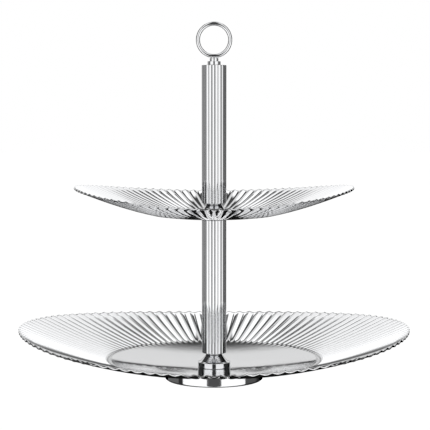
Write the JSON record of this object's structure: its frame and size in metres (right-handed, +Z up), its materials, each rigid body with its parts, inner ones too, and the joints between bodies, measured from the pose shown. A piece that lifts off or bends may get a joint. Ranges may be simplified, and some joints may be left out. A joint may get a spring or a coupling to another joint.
{
  "type": "tiered cake stand",
  "caption": "Tiered cake stand with round fluted metal plates on a reeded centre post, a ring handle on top and a low round foot.",
  "frame": {"origin": "centre of the foot, on the table that it stands on", "axes": "+Z up the centre post; -Y is the front, which the ring handle faces; each plate's rim is highest where it crosses the X axis and lowest where it crosses the Y axis"},
  "size_m": [0.34, 0.34, 0.3117],
  "materials": {
    "polished_steel": "mirror-polished stainless steel",
    "turned_steel": "plain turned steel",
    "rubber": "matt black rubber"
  },
  "bodies": {
    "foot": {"foot_shell": "polished_steel", "foot_pad": "rubber", "base_screw": "turned_steel", "base_lock_washer": "turned_steel", "base_flat_washer": "turned_steel", "foot_gasket": "rubber"},
    "lower_plate": {"lower_plate": "polished_steel"},
    "lower_thread": {"lower_post_bottom_insert": "turned_steel"},
    "lower_post": {"lower_post": "polished_steel", "lower_collar": "polished_steel", "lower_collar_gasket": "rubber", "lower_post_top_insert": "turned_steel", "middle_stud": "turned_steel", "upper_plate_seat_washer": "rubber"},
    "upper_plate": {"upper_plate": "polished_steel"},
    "upper_thread": {"upper_post_bottom_insert": "turned_steel"},
    "upper_post": {"upper_post": "polished_steel", "upper_collar": "polished_steel", "upper_collar_gasket": "rubber", "upper_post_top_insert": "turned_steel"},
    "ring_thread": {"ring_stud": "turned_steel"},
    "ring_handle": {"ring_neck": "polished_steel", "ring_handle": "polished_steel"}
  },
  "joints": [
    {"name": "lower_plate_turn", "type": "hinge", "parent": "foot", "child": "lower_plate", "pos_m": [0, 0, 0.0099], "axis": [0, 0, 1], "continuous": true},
    {"name": "lower_post_rise", "type": "slide", "parent": "foot", "child": "lower_thread", "axis": [0, 0, 1], "range_m": [0, 0.009]},
    {"name": "lower_post_turn", "type": "hinge", "parent": "lower_thread", "child": "lower_post", "pos_m": [0, 0, 0.0233], "axis": [0, 0, 1], "range_deg": [0, 3240]},
    {"name": "upper_plate_turn", "type": "hinge", "parent": "lower_post", "child": "upper_plate", "pos_m": [0, 0, 0.14135], "axis": [0, 0, 1], "continuous": true},
    {"name": "upper_post_rise", "type": "slide", "parent": "lower_post", "child": "upper_thread", "axis": [0, 0, 1], "range_m": [0, 0.009]},
    {"name": "upper_post_turn", "type": "hinge", "parent": "upper_thread", "child": "upper_post", "pos_m": [0, 0, 0.15465], "axis": [0, 0, 1], "range_deg": [0, 3240]},
    {"name": "ring_rise", "type": "slide", "parent": "upper_post", "child": "ring_thread", "axis": [0, 0, 1], "range_m": [0, 0.00543]},
    {"name": "ring_turn", "type": "hinge", "parent": "ring_thread", "child": "ring_handle", "pos_m": [0, 0, 0.2743], "axis": [0, 0, 1], "range_deg": [0, 2790]}
  ],
  "couplings": [
    {"joint": "lower_post_turn", "follows": "lower_post_rise", "rad_per_m": 6283.2},
    {"joint": "upper_post_turn", "follows": "upper_post_rise", "rad_per_m": 6283.2},
    {"joint": "ring_turn", "follows": "ring_rise", "rad_per_m": 8976}
  ]
}
